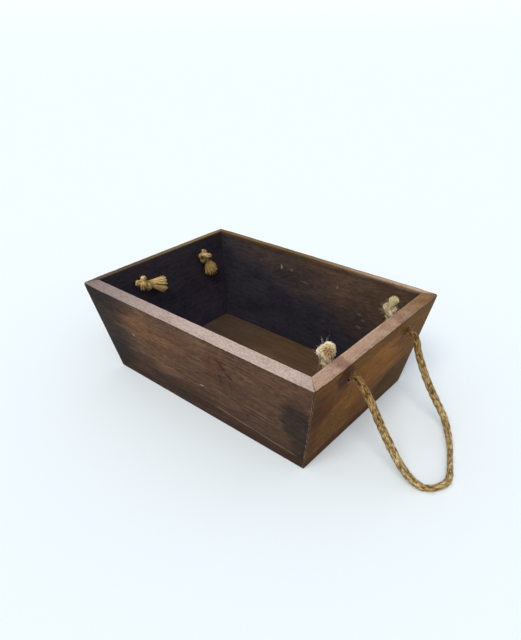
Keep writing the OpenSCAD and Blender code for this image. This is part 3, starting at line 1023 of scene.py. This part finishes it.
# the deep, middle and light colour of each knot's rope, and the root, core and tip of its loose fibres; all
# four are one jute, partly lit and shaded copies: the left-hand sets are darker as painted shade, the front
# right one brightest as painted light
FIBRES = {
    "pale": ((0.28, 0.18, 0.08), (0.66, 0.50, 0.30), (0.95, 0.86, 0.68),
             (0.30, 0.16, 0.05), (0.56, 0.34, 0.125), (1.0, 0.91, 0.70)),
    "straw": ((0.25, 0.17, 0.08), (0.55, 0.44, 0.27), (0.84, 0.75, 0.56),
              (0.36, 0.26, 0.10), (0.46, 0.36, 0.165), (0.62, 0.53, 0.31)),
    "gold": ((0.12, 0.060, 0.014), (0.46, 0.28, 0.08), (0.90, 0.70, 0.38),
             (0.20, 0.10, 0.022), (0.42, 0.25, 0.07), (0.74, 0.53, 0.23)),
    "rust": ((0.10, 0.050, 0.012), (0.38, 0.225, 0.065), (0.74, 0.56, 0.30),
             (0.14, 0.068, 0.016), (0.28, 0.155, 0.038), (0.46, 0.30, 0.115)),
}
KNOT_JUTES = {key: jute("knot_" + key, *c[:3]) for key, c in FIBRES.items()}
BRUSHES = {key: loose_fibre("brush_" + key, *c[3:]) for key, c in FIBRES.items()}
GOLDEN = 2.39996
KNOT_STEP = 0.6 * MM
KNOT_FROM, KNOT_TO, KNOT_R = -9.5 * MM, 9.0 * MM, 3.15 * MM


def make_knot(name, k):
    """A tied knot, the rope that fills its hole, and the cut end opened into yarns."""
    rng = np.random.default_rng(k.seed)
    at, tail, tip = (from_hole(k.side, k.y, v) for v in (k.at, k.tail, k.tip))
    d = (tail - at).normalized()
    body = k.size * KNOT @ np.array(turn_to(d, k.roll)).T + np.array(at)
    reach = (body - np.array(at)) @ np.array(d)
    keep = (reach > KNOT_FROM * k.size) & (reach < KNOT_TO * k.size)
    first, last = np.flatnonzero(keep)[[0, -1]]
    path = smooth_path(body[first:last + 1:2], KNOT_STEP)
    knot = rope_mesh(name + "_tied", path, KNOT_R * k.size, k.seed)
    # the rope that fills the hole runs on into the knot
    axis = Vector((k.side * HOLE_DIR.x, 0, HOLE_DIR.z))
    hole = Vector((k.side * HOLE_X, k.y, HOLE_Z))
    entry = Vector(path[0])
    route = [hole - axis * s * MM for s in (9, 12, 15)]
    route = [tuple(p) for p in route + [entry.lerp(route[-1], 0.25), entry]]
    stub = rope_mesh(name + "_stub", smooth_path(route, KNOT_STEP), ROPE_D / 2 * 0.94, k.seed + 3)
    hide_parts(name + "_knot")

    start = path[-1]
    t = unit(path[-1] - path[-3])
    aim = np.array(tip) - start
    length = max(float(np.linalg.norm(aim)), 6 * MM)
    aim = unit(aim)
    e1 = unit(np.cross(aim, (0, 0, 1.0) if abs(aim[2]) < 0.9 else (1.0, 0, 0)))
    e2 = np.cross(aim, e1)

    def spread_out(count, even):
        """Angles, shares of the radius and directions across the end, evenly or at random."""
        if even:
            i = np.arange(count)
            ang, rad = i * GOLDEN, np.sqrt((i + 0.5) / count)
        else:
            ang, rad = rng.uniform(0, 2 * pi, count), np.sqrt(rng.uniform(0, 1, count))
        return ang, rad, around(ang, e1, e2)

    def comb(count, even, reach, jitter):
        """Roots, directions and lengths of threads that leave the rope: a flare, tufts or a ball."""
        width = 2.6 * k.size
        ang, rad, out = spread_out(count, even)
        if not even:
            rad = 0.55 + 0.45 * rad
        roots = start - t * 2.0 * MM + out * (rad * width * MM)[:, None]
        if k.ball:
            dirs = around(rad**0.85 * 2.1, aim, out)
            lobed = (1 + 0.10 * np.cos(3 * ang)) * (1 - 0.22 * np.exp(-(rad / 0.4) ** 2))
            lengths = k.ball * MM * lobed
            roots = start + aim * 1.5 * MM + dirs * 0.8 * MM
        else:
            flare = (k.spread - width) * MM / length
            lengths = (length + 2 * MM) * (1 - k.dome * rad**2 + k.lean * 0.35 * rad * np.cos(ang))
            if k.tufts:
                step = 2 * pi / k.tufts
                to = (np.floor(ang % (2 * pi) / step) + 0.5) * step
                out = 0.36 * around(to, e1, e2) + (0.36 + 0.16 * k.neat) * out * rad[:, None]
                dirs = aim + out * flare
                lengths = lengths * (1 + 0.10 * np.sin(to * 2.3 + k.seed))
            else:
                dirs = aim + out * (rad * flare)[:, None]
        dirs = dirs + rng.normal(size=(count, 3)) * jitter
        return rad, roots, dirs, lengths * reach

    def with_lobe(parts, per):
        """A second, smaller ball beside the first, of the palest fibres."""
        if not k.lobe:
            return parts
        (a, b, c), size, count = k.lobe
        count = int(count * per)
        beside = np.array((-k.side * a, b, c), float) * MM
        d = rng.normal(size=(count, 3)) + unit(beside) * 1.1
        d /= np.linalg.norm(d, axis=1)[:, None]
        roots = start + beside * 0.62 + d * 0.5 * MM
        more = (np.full(count, 1.1), roots, d, size * MM * rng.uniform(0.8, 1.05, count))
        return tuple(np.concatenate(pair) for pair in zip(parts, more))

    neat = k.neat
    if k.ball:
        jitter, thick, curl, looser = 0.16, 0.46, 0.6, 0.8
        many, shortest, longest, wild = 1500, 0.70, 1.12, 150
    else:
        jitter, thick, curl, looser = 0.05 - 0.03 * neat, 0.58, 0.2 - 0.1 * neat, 0.4 - 0.25 * neat
        many, shortest, longest, wild = 360, 0.60, 1.0, int(24 - 20 * neat)
    even = rng.uniform(0.88 + 0.08 * neat, 1.04, k.yarns)
    rad, roots, dirs, lengths = with_lobe(comb(k.yarns, True, even, jitter), 1)
    brush = hairs(name + "_brush", roots, dirs, lengths, thick * MM, rng, curl, 6, 0.30, 5,
                  np.clip(rad * 1.1 - 0.08 + rng.normal(size=len(rad)) * 0.22, 0, 1))
    reach = rng.uniform(shortest, longest, many)
    rad, roots, dirs, lengths = with_lobe(comb(many, False, reach, 0.14 - 0.10 * neat), 2.5)
    combed = hairs(name + "_combed", roots, dirs, lengths, 0.11 * MM, rng, looser, 5,
                   shade=np.clip(rad - 0.3 + rng.uniform(0.1, 0.5, len(rad)), 0, 1))
    _, _, out = spread_out(wild, False)
    along = rng.uniform(0.1, 0.95, wild)
    roots = start + aim * (along * length)[:, None] + out * (along * k.spread * 0.6 * MM)[:, None]
    dirs = aim * rng.uniform(0.1, 1.0, wild)[:, None] + out + rng.normal(size=(wild, 3)) * 0.5
    wisps = hairs(name + "_wisps", roots, dirs, rng.gamma(2.2, 1.0, wild) * MM, 0.055 * MM, rng, 1.2,
                  shade=rng.uniform(0.4, 1.0, wild))
    frayed = [brush, combed, wisps]
    if k.strays:
        aims = np.array([(-k.side * a, b, c) for (a, b, c), _ in k.strays], float)
        aims = np.repeat(aims, 3, axis=0) + rng.normal(size=(3 * len(aims), 3)) * 0.8
        sizes = np.repeat([size for _, size in k.strays], 3) * rng.uniform(0.7, 1.1, len(aims)) * MM
        ways = aims / np.linalg.norm(aims, axis=1)[:, None]
        roots = start + aim * length * 0.4 + ways * k.spread * 0.5 * MM
        frayed.append(hairs(name + "_strays", roots, aims, sizes, 0.09 * MM, rng, 1.0, 8, shade=1.0))
    frayed.append(rope_fuzz(name + "_fuzz", path, 3.1 * k.size * MM, k.fuzz, k.seed + 7))
    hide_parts(name + "_tail")
    for obj in [knot, stub] + frayed:
        if obj in frayed:
            dress(obj, BRUSHES[k.fibre])
        else:
            dress(obj, KNOT_JUTES[k.fibre])
        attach(obj, "crate")
    return [knot, stub] + frayed


USUAL_KNOT = dict(dome=0.0, lean=0.0, tufts=0, ball=0, neat=0.0, lobe=None, strays=())
TIED = {name: make_knot(name, SimpleNamespace(**{**USUAL_KNOT, **k})) for name, k in KNOTS.items()}
RIGHT_PATH = loop_path(0.8 * MM)
make_handle("right", RIGHT_PATH, 5, TIED["right_front"] + TIED["right_back"])
make_handle("left", other_end(RIGHT_PATH), 9, TIED["left_front"] + TIED["left_back"])


# ---- floor and light
def floor():
    """A pale sweep: flat round the crate, curving up far behind it."""
    flat, radius, sides = 9, 40, 96
    profile = [(2.0, 0.0), (flat, 0.0)]
    profile += [(flat + radius * sin(a), radius * (1 - cos(a)))
                for a in np.radians(np.arange(1, 46, 2))]
    turns = [2 * pi * k / sides for k in range(sides)]
    verts = [(0, 0, 0)] + [(r * cos(a), r * sin(a), z) for r, z in profile for a in turns]
    faces = [(0, 1 + k, 1 + (k + 1) % sides) for k in range(sides)]
    faces += [f[::-1] for f in tube(1, len(profile), sides)]
    obj = new_mesh("floor", verts, faces)
    obj.location.z = -0.05 * MM
    obj.data.materials.append(Net("pale_floor").shader(colour=(0.84, 0.90, 0.94), rough=0.9, specular=0.1))


def sun(name, toward, strength, angle, colour):
    data = bpy.data.lights.new(name, "SUN")
    data.energy, data.angle, data.color = strength, radians(angle), colour
    obj = link(name, data)
    obj.rotation_mode = "QUATERNION"
    obj.rotation_quaternion = Vector(toward).to_track_quat("Z", "Y")


floor()
world = bpy.data.worlds.new("world")
world.use_nodes = True
world.node_tree.nodes["Background"].inputs[0].default_value = (0.87, 0.94, 1.0, 1)
world.node_tree.nodes["Background"].inputs[1].default_value = 0.62
bpy.context.scene.world = world
sun("key", (0.22, -0.75, 1.1), 1.75, 30, (1.0, 0.955, 0.90))
sun("fill", (0.9, -0.35, 0.55), 0.45, 60, (1.0, 0.95, 0.88))
bpy.context.scene.view_settings.view_transform = "Standard"
